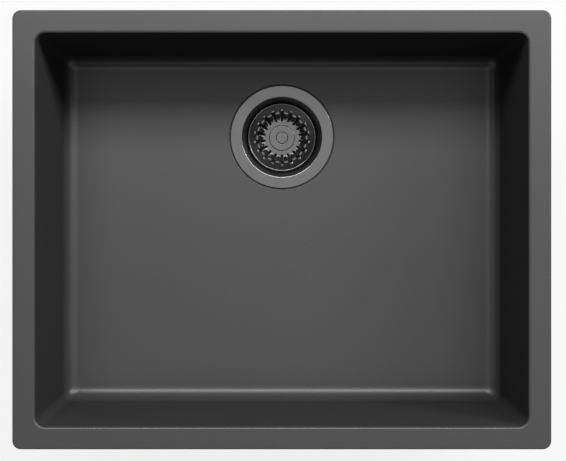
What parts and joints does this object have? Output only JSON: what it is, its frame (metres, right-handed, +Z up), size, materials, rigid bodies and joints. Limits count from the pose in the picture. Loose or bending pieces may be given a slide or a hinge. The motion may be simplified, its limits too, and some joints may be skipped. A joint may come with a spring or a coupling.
{
  "type": "undermount kitchen sink",
  "caption": "Undermount composite kitchen sink: rectangular bowl with a flat rim, rear drain and a fluted lift-out basket strainer.",
  "frame": {"origin": "middle of the bowl's opening, in the plane of the rim's top face", "axes": "+X along the long side, +Y towards the back where the drain is, +Z up out of the bowl"},
  "size_m": [0.54, 0.44, 0.292],
  "materials": {
    "composite": "dark grey mineral composite, fine matte grain",
    "dish_steel": "stainless steel, fine satin",
    "basket_steel": "pressed stainless steel, satin",
    "knob_steel": "satin metal",
    "fastener_steel": "turned stainless steel",
    "insert_brass": "plain turned brass",
    "gasket_rubber": "black rubber, matte",
    "waste_plastic": "black moulded polypropylene",
    "carrier_plastic": "pale moulded plastic"
  },
  "bodies": {
    "sink": {"sink_bowl": "composite", "rim_inserts": "insert_brass", "flange_gasket": "gasket_rubber", "strainer_dish": "dish_steel", "body_gasket": "gasket_rubber", "waste_body": "waste_plastic", "hub_nut": "insert_brass", "clamp_screw": "fastener_steel"},
    "seal": {"seal_carrier": "carrier_plastic", "plug_seal": "gasket_rubber"},
    "basket": {"basket_cup": "basket_steel", "knob_cap": "knob_steel", "knob_button": "knob_steel", "basket_stem": "fastener_steel", "stem_nut": "fastener_steel", "stem_clip": "fastener_steel", "click_ring": "carrier_plastic"}
  },
  "joints": [
    {"name": "basket_lift", "type": "slide", "parent": "sink", "child": "seal", "axis": [0, 0, 1], "range_m": [0, 0.26]},
    {"name": "basket_turn", "type": "hinge", "parent": "seal", "child": "basket", "pos_m": [0, 0.1, -0.22], "axis": [0, 0, 1], "continuous": true}
  ]
}
